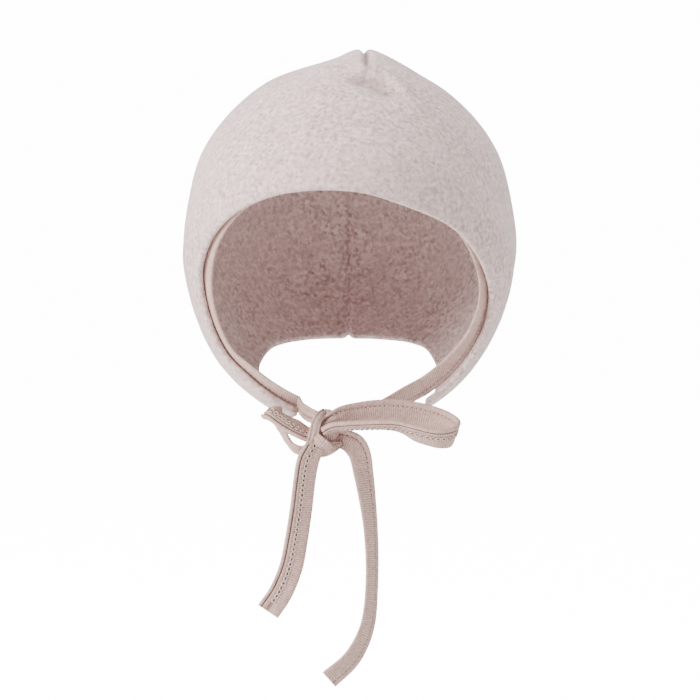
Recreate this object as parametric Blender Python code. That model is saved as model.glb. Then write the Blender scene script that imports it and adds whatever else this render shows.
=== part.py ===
"""Baby hat with ear flaps, tied under the chin.

A brushed fleece crown reaches down to the nape, with an ear flap at each side. A flat rib
tape binds the face opening, runs free past both ear flaps and is tied in a bow. Metres,
+Z up, the face opens along -Y. The origin is the inside of the crown's top.
"""

import bisect
import math

import bmesh
import bpy
from mathutils import Matrix, Vector

# Crown, measured outside, in its worn form.
HALF_WIDTH = 0.0695
FRONT_DEPTH = 0.0785
BACK_DEPTH = 0.0880
CROWN_RISE = 0.0815
CHIN_DROP = 0.0730
FLEECE_WALL = 0.0026
WIDEST_Z = FLEECE_WALL - CROWN_RISE

# Centre seam: it starts as a dart on the front of the crown and runs down the back.
PEAK_RISE = 0.0032
PEAK_SPREAD = 0.0078
PEAK_BACK = 0.004
PEAK_OFFSET = 0.0057
PEAK_ANGLE = 30.0
JAW_OFFSET = -0.0010
SEAM_GROOVE = 0.0016
SEAM_HALF_WIDTH = 0.0024
DART_FRONT = 0.026
DART_ASIDE = 0.0068
DART_FADE = 0.010
SEAM_ALLOWANCE = 0.0009

# Rib tape of the binding, the ties and the bow.
TAPE_WIDTH = 0.0100
TAPE_THICK = 0.0018
TAPE_LIP = 0.0024
LIP_RISE = 0.0003
GAP = 0.0003
ROLL_FLAT = 1.25 * TAPE_WIDTH
ROLL_REACH = 0.022

# Bow: the knot and how far each strap reaches from its middle.
KNOT_X = -0.0103
KNOT_Y = -0.0380
KNOT_DROP = 0.0724
KNOT_WIDTH = 0.0125
KNOT_DEPTH = 0.0120
KNOT_HEIGHT = 0.0145
RIGHT_LOOP = 0.0545
LEFT_LOOP = 0.0250
LEFT_TAIL = 0.0755
RIGHT_TAIL = 0.1050

# Mesh: how many stations and rows the shapes are drawn with.
CROWN_COLUMNS = 60
CROWN_ROWS = 22
TAPE_STEP = 0.0030

# The outside form, by the angle from straight up, as shares of the crown's own sizes.
#        angle  half_width  front  back
FORM = (
    (0.0, 0.860, 0.88, 0.90),
    (10.0, 0.870, 0.90, 0.92),
    (20.0, 0.930, 0.96, 0.97),
    (30.0, 1.000, 1.00, 1.00),
    (40.0, 1.018, 1.03, 1.03),
    (58.0, 1.034, 1.04, 1.04),
    (74.0, 1.008, 1.02, 1.02),
    (90.0, 1.004, 1.00, 1.00),
    (105.0, 0.978, 0.96, 0.96),
    (120.0, 0.966, 0.90, 0.88),
    (135.0, 0.972, 0.84, 0.80),
    (150.0, 0.968, 0.86, 0.76),
    (180.0, 0.960, 0.90, 0.76),
)

# Lengthwise ribs of the crown, from the left flap's tip over the forehead to the right one.
# Each pair is a direction from the crown's middle: degrees round from the front (+X is
# positive) and degrees above the widest line. face and neck are the cloth's two edges.
#        face            front_mid       back_mid        neck
RIBS = (
    ((-41.0, -61.0), (-49.0, -64.5), (-64.0, -65.5), (-82.0, -63.5)),
    ((-57.0, -44.5), (-72.0, -49.0), (-91.0, -53.0), (-110.0, -53.5)),
    ((-65.5, -33.0), (-82.0, -33.0), (-103.0, -37.0), (-124.0, -45.0)),
    ((-65.0, -17.4), (-86.0, -9.0), (-113.0, -12.0), (-138.0, -38.0)),
    ((-60.5, -3.5), (-85.0, 14.0), (-122.0, 6.0), (-148.0, -35.5)),
    ((-48.0, 9.8), (-74.0, 38.0), (-136.0, 24.0), (-158.0, -34.5)),
    ((-27.2, 18.4), (-50.0, 62.0), (-156.0, 42.0), (-169.0, -34.0)),
    ((0.0, 20.1), (0.0, 74.0), (180.0, 52.0), (180.0, -34.0)),
    ((18.5, 15.8), (50.0, 62.0), (156.0, 42.0), (169.0, -34.0)),
    ((39.0, 7.6), (74.0, 38.0), (136.0, 24.0), (158.0, -34.5)),
    ((54.0, -6.2), (84.0, 13.0), (122.0, 6.0), (148.0, -35.5)),
    ((61.5, -16.5), (86.0, -9.0), (113.0, -12.0), (138.0, -38.0)),
    ((65.5, -29.0), (84.0, -32.0), (103.0, -37.0), (124.0, -45.0)),
    ((65.5, -42.0), (77.0, -46.0), (91.0, -50.0), (108.0, -52.5)),
    ((60.0, -55.5), (65.0, -57.5), (70.0, -58.5), (77.0, -58.0)),
)

# How the tape lies along the face edge, a row for each rib: how far it shows past the
# fleece as a share of its width, and by how many degrees its free edge turns in.
#    shows   turn
BINDING = (
    (0.66, 3.0),
    (0.68, -2.0),
    (0.72, -8.0),
    (0.66, -8.0),
    (0.50, 0.0),
    (0.20, 0.0),
    (-0.15, 0.0),
    (-0.15, 0.0),
    (-0.15, 0.0),
    (-0.05, 0.0),
    (0.30, 0.0),
    (0.62, 0.0),
    (0.75, 8.0),
    (0.82, 22.0),
    (0.85, 30.0),
)


def blend_at(knots, values, at):
    """Smooth curve through the values at rising knots, with Catmull-Rom slopes."""
    last = len(knots) - 1
    i = min(max(bisect.bisect_right(knots, at) - 1, 0), last - 1)
    span = knots[i + 1] - knots[i]
    u = (at - knots[i]) / span

    def slope(k):
        low, high = max(k - 1, 0), min(k + 1, last)
        return (values[high] - values[low]) / (knots[high] - knots[low]) * span

    u2, u3 = u * u, u * u * u
    return (
        values[i] * (2 * u3 - 3 * u2 + 1)
        + slope(i) * (u3 - 2 * u2 + u)
        + values[i + 1] * (3 * u2 - 2 * u3)
        + slope(i + 1) * (u3 - u2)
    )


def direction(around, above):
    """Unit vector from degrees round from the front and degrees above the widest line."""
    a, e = math.radians(around), math.radians(above)
    return Vector((math.sin(a) * math.cos(e), -math.cos(a) * math.cos(e), math.sin(e)))


def form_point(aim):
    """Outside of the plain form where the unit vector aim leaves the crown's middle."""
    angle = math.degrees(math.acos(max(-1.0, min(1.0, aim.z))))
    knots = [row[0] for row in FORM]
    width = blend_at(knots, [row[1] for row in FORM], angle)
    column = 2 if aim.y < 0 else 3
    depth = (FRONT_DEPTH if aim.y < 0 else BACK_DEPTH) * blend_at(
        knots, [row[column] for row in FORM], angle
    )
    rise = CROWN_RISE if aim.z > 0 else CHIN_DROP
    aside = PEAK_OFFSET * ease((PEAK_ANGLE - angle) / (PEAK_ANGLE - 8.0))
    aside += JAW_OFFSET * ease((angle - 95.0) / 50.0)
    return Vector((aside + HALF_WIDTH * width * aim.x, depth * aim.y, WIDEST_Z + rise * aim.z))


def form_normal(aim):
    """Outward normal of the plain form."""
    side = aim.orthogonal().normalized()
    other = aim.cross(side)
    step = 0.01
    along = form_point((aim + side * step).normalized()) - form_point((aim - side * step).normalized())
    across = form_point((aim + other * step).normalized()) - form_point((aim - other * step).normalized())
    return along.cross(across).normalized()


def ease(u):
    """Smooth step from 0 to 1."""
    u = min(max(u, 0.0), 1.0)
    return u * u * (3 - 2 * u)


def seam_line(aim, point):
    """How far a point of the crown is from the centre seam, and how strongly the seam shows there."""
    front = ease((0.002 - point.y) / 0.010)
    aside = HALF_WIDTH * aim.x * (1 - front) + (point.x - DART_ASIDE) * front
    shows = ease((point.y + DART_FRONT + DART_FADE) / DART_FADE)
    if point.z < WIDEST_Z and point.y < 0:
        shows = 0.0
    return aside, shows


def crown_relief(aim, point):
    """Peak and seam groove, added outwards to the plain form."""
    aside, shows = seam_line(aim, point)
    if point.z < WIDEST_Z and point.y < 0:
        return 0.0
    reach = math.hypot(HALF_WIDTH * aim.x, (point.y - PEAK_BACK) * 0.6)
    peak = PEAK_RISE * math.exp(-0.5 * (reach / PEAK_SPREAD) ** 2) * (point.z > WIDEST_Z)
    groove = SEAM_GROOVE * shows * math.exp(-((aside / SEAM_HALF_WIDTH) ** 2))
    return peak - groove


class Rib:
    """One lengthwise line of the cloth on the form, walked by its length from the face edge."""

    FINE = 48

    def __init__(self, share):
        at = share * (len(RIBS) - 1)
        knots = list(range(len(RIBS)))
        rails = []
        for column in range(4):
            aims = [direction(*row[column]) for row in RIBS]
            rails.append(Vector([blend_at(knots, [a[k] for a in aims], at) for k in range(3)]).normalized())
        spans = [0.0]
        for a, b in zip(rails, rails[1:]):
            spans.append(spans[-1] + max(a.angle(b), 1e-4))
        self.aims = []
        for i in range(self.FINE + 1):
            u = spans[-1] * i / self.FINE
            self.aims.append(Vector([blend_at(spans, [r[k] for r in rails], u) for k in range(3)]).normalized())
        points = [form_point(a) for a in self.aims]
        self.along = [0.0]
        for a, b in zip(points, points[1:]):
            self.along.append(self.along[-1] + (b - a).length)
        self.length = self.along[-1]

    def aim(self, distance):
        """Direction at a distance from the face edge; below 0 it runs on into the opening."""
        i = min(max(bisect.bisect_right(self.along, distance) - 1, 0), self.FINE - 1)
        u = (distance - self.along[i]) / (self.along[i + 1] - self.along[i])
        return (self.aims[i] + (self.aims[i + 1] - self.aims[i]) * u).normalized()

    def point(self, distance, outward):
        """Point at a distance from the face edge, outward of the plain form."""
        aim = self.aim(distance)
        return form_point(aim) + form_normal(aim) * outward


def build(name, vertices, faces, material, smooth_angle=50.0):
    """Closed mesh object with its normals made to point out."""
    mesh = bpy.data.meshes.new(name)
    mesh.from_pydata([tuple(v) for v in vertices], [], faces)
    shape = bmesh.new()
    shape.from_mesh(mesh)
    bmesh.ops.recalc_face_normals(shape, faces=shape.faces)
    shape.to_mesh(mesh)
    shape.free()
    mesh.materials.append(material)
    mesh.shade_smooth()
    mesh.set_sharp_from_angle(angle=math.radians(smooth_angle))
    made = bpy.data.objects.new(name, mesh)
    bpy.context.scene.collection.objects.link(made)
    return made


def cloth_material(name, colour, roughness):
    """Matt cloth in one colour."""
    material = bpy.data.materials.new(name)
    material.use_nodes = True
    shader = material.node_tree.nodes["Principled BSDF"]
    shader.inputs["Base Color"].default_value = (*colour, 1.0)
    shader.inputs["Roughness"].default_value = roughness
    shader.inputs["Metallic"].default_value = 0.0
    return material


def column_shares():
    """Shares along the face edge where the crown has a line of points, closer at the centre seam."""
    shares = []
    for i in range(CROWN_COLUMNS + 1):
        u = i / CROWN_COLUMNS - 0.5
        shares.append(0.5 + u * (0.55 + 0.45 * min(1.0, (abs(u) / 0.25) ** 0.8) if abs(u) < 0.25 else 1.0))
    return shares


def fleece_lift(distance):
    """The fleece rides up over the tape beside the face edge."""
    return (TAPE_THICK + LIP_RISE + GAP) * (1 - ease((distance - ROLL_FLAT) / ROLL_REACH))


def row_distances(length):
    """Where a rib has points: four rows over the roll beside the face edge, the rest evenly."""
    squeeze = min(1.0, 0.5 * length / (ROLL_FLAT + ROLL_REACH))
    roll = (0.0, ROLL_FLAT / 2, ROLL_FLAT, ROLL_FLAT + ROLL_REACH / 2, ROLL_FLAT + ROLL_REACH)
    found = [d * squeeze for d in roll]
    start, rest = found[-1], CROWN_ROWS - len(roll) + 1
    return found + [start + (length - start) * (i + 1) / rest for i in range(rest)]


def make_crown(material):
    """Fleece crown with both ear flaps, one hollow wall open at the face and at the neck."""
    outside, inside = [], []
    for share in column_shares():
        rib = Rib(share)
        for distance in row_distances(rib.length):
            plain = rib.point(distance, 0.0)
            aside, shows = seam_line(rib.aim(distance), plain)
            level = crown_relief(rib.aim(distance), plain) + fleece_lift(distance)
            inner = level - FLEECE_WALL
            inner -= SEAM_ALLOWANCE * shows * math.exp(-((aside / (2 * SEAM_HALF_WIDTH)) ** 2))
            inner += SEAM_GROOVE * shows * math.exp(-((aside / SEAM_HALF_WIDTH) ** 2))
            outside.append(rib.point(distance, level))
            inside.append(rib.point(distance, inner))
    rows, columns = CROWN_ROWS + 1, CROWN_COLUMNS + 1
    rim = [(0, r) for r in range(rows)]
    rim += [(c, rows - 1) for c in range(1, columns)]
    rim += [(columns - 1, r) for r in range(rows - 2, -1, -1)]
    rim += [(c, 0) for c in range(columns - 2, 0, -1)]
    rim_index = [c * rows + r for c, r in rim]
    inner_start = len(outside)
    middle_start = 2 * inner_start
    middle = []
    for k, (c, r) in enumerate(rim):
        near_c, near_r = min(max(c, 1), columns - 2), min(max(r, 1), rows - 2)
        here = (outside[rim_index[k]] + inside[rim_index[k]]) / 2
        within = (outside[near_c * rows + near_r] + inside[near_c * rows + near_r]) / 2
        middle.append(here + (here - within).normalized() * FLEECE_WALL * 0.4)
    faces = []
    for c in range(columns - 1):
        for r in range(rows - 1):
            a, b = c * rows + r, (c + 1) * rows + r
            faces.append((a, b, b + 1, a + 1))
            faces.append((inner_start + a, inner_start + a + 1, inner_start + b + 1, inner_start + b))
    for k in range(len(rim)):
        n = (k + 1) % len(rim)
        faces.append((rim_index[k], rim_index[n], middle_start + n, middle_start + k))
        faces.append((middle_start + k, middle_start + n, inner_start + rim_index[n], inner_start + rim_index[k]))
    return build("crown", outside + inside + middle, faces, material)


# Tape cross-section: across as a share of the width, and up from the middle in half
# thicknesses. The stitched lip stands a little proud along one edge.
def tape_section():
    half = TAPE_WIDTH / 2
    thick = TAPE_THICK / 2
    lip = half - TAPE_LIP
    return (
        (-half, 0.0),
        (-half + thick * 0.6, thick),
        (0.0, thick),
        (lip, thick * 0.8),
        (half - thick * 0.6, thick + LIP_RISE),
        (half, 0.0),
        (half - thick * 0.6, -thick),
        (0.0, -thick),
        (-half + thick * 0.6, -thick),
    )


def swept(stations):
    """Vertices and faces of a tape through stations of (point, across, up, width share)."""
    section = tape_section()
    vertices = []
    for point, across, up, width in stations:
        for x, y in section:
            vertices.append(point + across * (x * width) + up * y)
    n = len(section)
    faces = []
    for s in range(len(stations) - 1):
        for k in range(n):
            a, b = s * n + k, s * n + (k + 1) % n
            faces.append((a, b, b + n, a + n))
    faces.append(tuple(range(n)))
    faces.append(tuple(range(len(vertices) - 1, len(vertices) - n - 1, -1)))
    return vertices, faces


def face_edge_stations():
    """Stations of the tape along the face edge, lying under the fleece's edge."""
    knots = list(range(len(BINDING)))
    found = []
    for share in column_shares():
        rib = Rib(share)
        at = share * (len(BINDING) - 1)
        shows = blend_at(knots, [row[0] for row in BINDING], at) * TAPE_WIDTH
        turn = math.radians(blend_at(knots, [row[1] for row in BINDING], at))
        level = TAPE_THICK / 2 - FLEECE_WALL
        sewn = TAPE_WIDTH - shows
        up = form_normal(rib.aim(sewn))
        start = rib.point(sewn, level)
        ahead = (rib.point(sewn - TAPE_WIDTH, level) - start).normalized()
        across = (ahead * math.cos(turn) - up * math.sin(turn)).normalized()
        lift = (ahead * math.sin(turn) + up * math.cos(turn)).normalized()
        found.append((start + across * (TAPE_WIDTH / 2), -across, lift, 1.0))
    return found


KNOT = Vector((KNOT_X, KNOT_Y, WIDEST_Z - KNOT_DROP))

# Routes of the straps, from the knot's middle. right, forward and up are shares of the
# strap's reach, turn is in degrees about the strap's own line, and width is a share of the
# tape's width. The lip is the upper edge of the right loop, the lower edge of the left
# loop, the left edge of the left tail and the right edge of the right tail.
#    right   forward up      turn   width
RIGHT_LOOP_ROUTE = (
    (-0.025, 0.080, 0.042, 0.0, 0.45),
    (0.043, 0.082, 0.088, -3.0, 0.62),
    (0.125, 0.062, 0.115, -5.0, 0.86),
    (0.230, 0.022, 0.125, -6.0, 1.00),
    (0.40, -0.015, 0.145, -6.0, 1.00),
    (0.58, -0.035, 0.140, -5.0, 1.00),
    (0.76, -0.03, 0.110, -4.0, 1.00),
    (0.91, 0.03, 0.060, -8.0, 1.00),
    (0.975, 0.11, 0.010, -16.0, 1.00),
    (0.95, 0.20, -0.030, -27.0, 1.00),
    (0.84, 0.24, -0.037, -38.0, 1.00),
    (0.68, 0.22, 0.000, -42.0, 1.00),
    (0.563, 0.198, 0.030, -44.0, 1.00),
    (0.450, 0.187, 0.040, -47.0, 1.00),
    (0.339, 0.176, 0.040, -50.0, 0.98),
    (0.234, 0.165, 0.036, -51.0, 0.95),
    (0.137, 0.154, 0.033, -52.0, 0.88),
    (0.054, 0.152, 0.026, -52.0, 0.70),
    (-0.010, 0.148, -0.004, -52.0, 0.48),
)
LEFT_LOOP_ROUTE = (
    (-0.18, -0.08, -0.20, 120.0, 0.60),
    (-0.35, -0.10, -0.32, 118.0, 0.80),
    (-0.51, -0.14, -0.28, 120.0, 0.90),
    (-0.64, -0.20, -0.12, 124.0, 1.00),
    (-0.74, -0.25, 0.07, 128.0, 1.00),
    (-0.84, -0.28, 0.24, 132.0, 1.00),
    (-0.895, -0.19, 0.345, 134.0, 1.00),
    (-0.85, -0.08, 0.335, 132.0, 1.00),
    (-0.71, -0.02, 0.215, 128.0, 1.00),
    (-0.50, 0.02, 0.07, 126.0, 1.00),
    (-0.30, 0.02, -0.04, 126.0, 0.90),
    (-0.13, 0.00, -0.10, 130.0, 0.70),
)
LEFT_TAIL_ROUTE = (
    (-0.03, 0.06, -0.03, 174.0, 0.60),
    (-0.055, 0.105, -0.08, 164.0, 0.85),
    (-0.09, 0.110, -0.15, 159.0, 1.00),
    (-0.110, 0.090, -0.26, 158.0, 1.00),
    (-0.130, 0.06, -0.425, 160.0, 1.00),
    (-0.155, 0.055, -0.59, 165.0, 1.00),
    (-0.185, 0.055, -0.74, 171.0, 1.00),
    (-0.24, 0.06, -0.875, 178.0, 1.00),
    (-0.31, 0.065, -0.98, 184.0, 1.00),
)
RIGHT_TAIL_ROUTE = (
    (0.03, 0.00, -0.03, 0.0, 0.55),
    (0.065, 0.015, -0.030, -8.0, 0.78),
    (0.110, 0.010, -0.050, -15.0, 0.98),
    (0.136, 0.00, -0.090, -23.0, 1.00),
    (0.15, 0.00, -0.165, -35.0, 1.00),
    (0.164, 0.015, -0.26, -48.0, 1.00),
    (0.176, 0.03, -0.365, -57.0, 1.00),
    (0.183, 0.05, -0.50, -62.0, 1.00),
    (0.18, 0.07, -0.635, -62.0, 1.00),
    (0.168, 0.09, -0.74, -56.0, 1.00),
    (0.14, 0.105, -0.82, -48.0, 1.00),
    (0.095, 0.115, -0.89, -40.0, 1.00),
    (0.015, 0.125, -0.96, -32.0, 1.00),
)

# The ties run on from the crown's two front corners into the knot. Their places are shares
# of the way from the knot's middle to the corner and turn starts from how the tape leaves
# the crown: aside is along that way, sag below it, forward in front of it.
#    aside   forward sag     turn   width
LEFT_TIE_ROUTE = (
    (0.84, 0.040, 0.045, 4.0, 0.80),
    (0.55, 0.143, -0.024, 12.0, 0.70),
    (0.24, 0.169, -0.146, 14.0, 0.60),
)
RIGHT_TIE_ROUTE = (
    (0.85, -0.01, 0.01, 0.0, 1.00),
    (0.62, -0.02, 0.03, -5.0, 1.00),
    (0.36, -0.03, 0.03, -10.0, 0.95),
    (0.16, -0.05, 0.00, -15.0, 0.75),
    (0.04, -0.05, -0.02, -15.0, 0.55),
)


def spaced(places):
    """Lengths along a chain of places."""
    along = [0.0]
    for a, b in zip(places, places[1:]):
        along.append(along[-1] + (b - a).length)
    return along


def strap_stations(route, reach, upright):
    """Stations along a route. An upright strap's width starts from +Z, another's from sideways."""
    places = [KNOT + Vector((row[0], -row[1], row[2])) * reach for row in route]
    along = spaced(places)
    count = max(6, round(along[-1] / TAPE_STEP))

    def place(at):
        return Vector([blend_at(along, [p[k] for p in places], at) for k in range(3)])

    found = []
    for i in range(count + 1):
        at = along[-1] * i / count
        step = along[-1] * 0.002
        run = (place(min(at + step, along[-1])) - place(max(at - step, 0.0))).normalized()
        turn = math.radians(blend_at(along, [row[3] for row in route], at))
        width = blend_at(along, [row[4] for row in route], at)
        guide = Vector((0, 0, 1)) if upright else Vector((0, -1, 0)).cross(run)
        across = (guide - run * guide.dot(run)).normalized()
        across = Matrix.Rotation(turn, 3, run) @ across
        found.append((place(at), across, run.cross(across).normalized(), width))
    return found


def tie_stations(route, corner, run_sign):
    """Stations from the crown's corner station to the knot, carried on from how the tape lies there."""
    start, across, up, width = corner
    way = start - KNOT
    places = [start]
    for aside, forward, sag, turn, share in route:
        places.append(KNOT + way * aside + Vector((0, -forward, -sag)) * way.length)
    along = spaced(places)
    turns = [0.0] + [row[3] for row in route]
    widths = [width] + [row[4] for row in route]
    count = max(4, round(along[-1] / TAPE_STEP))

    def place(at):
        return Vector([blend_at(along, [p[k] for p in places], at) for k in range(3)])

    found = []
    carried = across
    for i in range(1, count + 1):
        at = along[-1] * i / count
        step = along[-1] * 0.004
        run = (place(min(at + step, along[-1])) - place(at - step)).normalized() * run_sign
        carried = (carried - run * carried.dot(run)).normalized()
        turned = Matrix.Rotation(math.radians(blend_at(along, turns, at)), 3, run) @ carried
        found.append((place(at), turned, run.cross(turned).normalized(), blend_at(along, widths, at)))
    return found


def binding_stations():
    """The whole tape: left tie, face edge and right tie, from knot to knot."""
    edge = face_edge_stations()
    left = tie_stations(LEFT_TIE_ROUTE, edge[0], -1.0)
    right = tie_stations(RIGHT_TIE_ROUTE, edge[-1], 1.0)
    return left[::-1] + edge + right


def ellipsoid(name, half, material, segments=20, rings=12):
    """Closed ball stretched to its three half sizes, at the knot."""
    mesh = bpy.data.meshes.new(name)
    shape = bmesh.new()
    bmesh.ops.create_uvsphere(shape, u_segments=segments, v_segments=rings, radius=1.0)
    bmesh.ops.scale(shape, vec=half, verts=shape.verts)
    bmesh.ops.translate(shape, vec=KNOT, verts=shape.verts)
    shape.to_mesh(mesh)
    shape.free()
    mesh.shade_smooth()
    if material:
        mesh.materials.append(material)
    made = bpy.data.objects.new(name, mesh)
    bpy.context.scene.collection.objects.link(made)
    return made


def cut_at_knot(strap, cutter):
    """Ends a strap a small gap from the knot."""
    cut = strap.modifiers.new("end at the knot", "BOOLEAN")
    cut.operation = "DIFFERENCE"
    cut.solver = "EXACT"
    cut.object = cutter


def make_all():
    for item in list(bpy.data.objects):
        bpy.data.objects.remove(item)
    fleece = cloth_material("fleece", (0.62, 0.54, 0.52), 0.95)
    rib_tape = cloth_material("rib_tape", (0.50, 0.40, 0.36), 0.85)
    make_crown(fleece)
    half = (KNOT_WIDTH / 2, KNOT_DEPTH / 2, KNOT_HEIGHT / 2)
    ellipsoid("knot", half, rib_tape)
    cutter = ellipsoid("knot clearance", tuple(h + GAP for h in half), None)
    cutter.hide_render = True
    cutter.display_type = "WIRE"
    straps = (
        ("bow_loop_right", RIGHT_LOOP_ROUTE, RIGHT_LOOP, True),
        ("bow_loop_left", LEFT_LOOP_ROUTE, LEFT_LOOP, True),
        ("tail_left", LEFT_TAIL_ROUTE, LEFT_TAIL, False),
        ("tail_right", RIGHT_TAIL_ROUTE, RIGHT_TAIL, False),
    )
    for name, route, reach, upright in straps:
        strap = build(name, *swept(strap_stations(route, reach, upright)), rib_tape)
        cut_at_knot(strap, cutter)
    binding = build("binding_and_ties", *swept(binding_stations()), rib_tape)
    cut_at_knot(binding, cutter)


make_all()
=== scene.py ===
"""Baby hat with ear flaps, tied in a bow: the finished look, piece by piece as it is sewn.

A brushed fleece crown, a flat rib tape around the face that runs on into two ties, the bow
tied from them, and the knot. Metres, +Z up, the face opens along -Y.
"""

import bisect
import math

import bmesh
import bpy
from mathutils import Matrix, Vector, noise


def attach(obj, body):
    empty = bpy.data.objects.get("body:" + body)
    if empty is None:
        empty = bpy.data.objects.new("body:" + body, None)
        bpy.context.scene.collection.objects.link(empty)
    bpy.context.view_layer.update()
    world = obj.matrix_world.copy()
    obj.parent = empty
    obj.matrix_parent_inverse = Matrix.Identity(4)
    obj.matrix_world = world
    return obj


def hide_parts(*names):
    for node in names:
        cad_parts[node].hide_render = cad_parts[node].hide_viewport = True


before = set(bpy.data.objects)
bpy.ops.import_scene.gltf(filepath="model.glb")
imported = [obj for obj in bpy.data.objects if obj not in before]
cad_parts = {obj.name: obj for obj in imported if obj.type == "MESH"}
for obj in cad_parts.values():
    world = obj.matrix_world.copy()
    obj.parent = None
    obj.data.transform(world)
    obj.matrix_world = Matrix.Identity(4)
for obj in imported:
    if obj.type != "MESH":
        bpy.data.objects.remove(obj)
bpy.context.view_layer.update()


# Studio: a camera a little above the face edge, a broad soft light from the left and the
# front, and a wide pale floor below the tails that curves up far behind.

SENSOR_MM = 36.0
VIEW_TARGET = Vector((0.0, 0.0, -0.1206))
VIEW_DISTANCE = 1.6
VIEW_WIDTH = 0.294
VIEW_ELEVATION = math.radians(4.0)
LIT_MIDDLE = Vector((0.0, 0.0, -0.10))
SKY_STRENGTH = 0.46
FLOOR_Z = -0.300
FLOOR_SPOKES = 96
FLOOR_GLOW = 14.0
WHITE = (1.0, 1.0, 1.0, 1.0)

# Rings of the floor: how far out, and how far up.
FLOOR_RINGS = ((1.6, 0.0), (2.4, 0.0), (2.9, 0.06), (3.3, 0.26), (3.55, 0.62), (3.6, 1.1), (3.6, 2.2))


def add_object(name, data):
    """Object at the origin, linked to the scene."""
    made = bpy.data.objects.new(name, data)
    bpy.context.scene.collection.objects.link(made)
    return made


view = bpy.data.cameras.new("view")
view.sensor_width = SENSOR_MM
view.lens = SENSOR_MM * VIEW_DISTANCE / VIEW_WIDTH
view.clip_start = 0.05
view_holder = add_object("view", view)
toward = Vector((0.0, -math.cos(VIEW_ELEVATION), math.sin(VIEW_ELEVATION)))
view_holder.location = VIEW_TARGET + toward * VIEW_DISTANCE
view_holder.rotation_euler = toward.to_track_quat("Z", "Y").to_euler()
bpy.context.scene.camera = view_holder


def soft_light(name, place, size, power, colour):
    """Square soft box aimed at the hat."""
    lamp = bpy.data.lights.new(name, "AREA")
    lamp.size = size
    lamp.energy = power
    lamp.color = colour
    holder = add_object(name, lamp)
    holder.location = Vector(place)
    holder.rotation_euler = (Vector(place) - LIT_MIDDLE).to_track_quat("Z", "Y").to_euler()


soft_light("window left", (-1.45, -0.85, 0.45), 0.9, 66.0, (1.0, 0.985, 0.97))
soft_light("ceiling", (-0.15, 0.05, 1.35), 1.0, 30.0, (1.0, 1.0, 1.0))
soft_light("fill right", (1.55, -0.10, 0.25), 0.8, 10.0, (0.985, 0.99, 1.0))

sky = bpy.data.worlds.new("pale room")
bpy.context.scene.world = sky
sky.use_nodes = True
daylight = sky.node_tree.nodes["Background"]
daylight.inputs["Color"].default_value = WHITE
daylight.inputs["Strength"].default_value = SKY_STRENGTH

floor_points, floor_faces = [(0.0, 0.0, FLOOR_Z)], []
for radius, rise in FLOOR_RINGS:
    for spoke in range(FLOOR_SPOKES):
        turn = 2 * math.pi * spoke / FLOOR_SPOKES
        floor_points.append((radius * math.cos(turn), radius * math.sin(turn), FLOOR_Z + rise))
for spoke in range(FLOOR_SPOKES):
    beside = (spoke + 1) % FLOOR_SPOKES
    floor_faces.append((0, 1 + spoke, 1 + beside))
    for ring in range(len(FLOOR_RINGS) - 1):
        a, b = 1 + ring * FLOOR_SPOKES + spoke, 1 + ring * FLOOR_SPOKES + beside
        floor_faces.append((a, a + FLOOR_SPOKES, b + FLOOR_SPOKES, b))
floor_mesh = bpy.data.meshes.new("floor")
floor_mesh.from_pydata(floor_points, [], floor_faces)
floor_mesh.shade_smooth()
floor_paint = bpy.data.materials.new("floor paint")
floor_paint.use_nodes = True
nodes, links = floor_paint.node_tree.nodes, floor_paint.node_tree.links
shader = nodes["Principled BSDF"]
shader.inputs["Base Color"].default_value = (0.93, 0.93, 0.93, 1.0)
shader.inputs["Roughness"].default_value = 0.9
shader.inputs["Emission Color"].default_value = WHITE
glow = nodes.new("ShaderNodeMath")
glow.operation = "MULTIPLY"
glow.inputs[1].default_value = FLOOR_GLOW
links.new(nodes.new("ShaderNodeLightPath").outputs["Is Camera Ray"], glow.inputs[0])
links.new(glow.outputs[0], shader.inputs["Emission Strength"])
floor_mesh.materials.append(floor_paint)
floor = add_object("floor", floor_mesh)


# Crown: two panels of brushed fleece sewn together along the back and over the top, where
# the seam ends in a short dart above the brow. The face edge is turned over the tape.

HALF_WIDTH = 0.0695
FRONT_DEPTH = 0.0785
BACK_DEPTH = 0.0880
CROWN_RISE = 0.0815
CHIN_DROP = 0.0730
FLEECE_WALL = 0.0026
WIDEST_Z = FLEECE_WALL - CROWN_RISE
PEAK_RISE = 0.0032
PEAK_SPREAD = 0.0078
PEAK_BACK = 0.004
PEAK_OFFSET = 0.0057
PEAK_ANGLE = 30.0
JAW_OFFSET = -0.0010
SEAM_GROOVE = 0.0023
SEAM_HALF_WIDTH = 0.0013
DART_FRONT = 0.026
DART_ASIDE = 0.0068
DART_FADE = 0.010
TAPE_WIDTH = 0.0100
TAPE_THICK = 0.0018
ROLL_FLAT = 1.25 * TAPE_WIDTH
ROLL_REACH = 0.022
SLACK = ((48.0, 0.00022), (130.0, 0.00010))
FACE_LIFT = 0.0024
CROWN_COLUMNS = 210
CROWN_ROWS = 124
ROLL_ROWS = 22
BROW_ROWS = 64
BROW_SHARE = 0.30

#        angle  half_width  front  back
FORM = (
    (0.0, 0.860, 0.88, 0.90),
    (10.0, 0.870, 0.90, 0.92),
    (20.0, 0.930, 0.96, 0.97),
    (30.0, 1.000, 1.00, 1.00),
    (40.0, 1.018, 1.03, 1.03),
    (58.0, 1.034, 1.04, 1.04),
    (74.0, 1.008, 1.02, 1.02),
    (90.0, 1.004, 1.00, 1.00),
    (105.0, 0.978, 0.96, 0.96),
    (120.0, 0.966, 0.90, 0.88),
    (135.0, 0.972, 0.84, 0.80),
    (150.0, 0.968, 0.86, 0.76),
    (180.0, 0.960, 0.90, 0.76),
)

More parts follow.
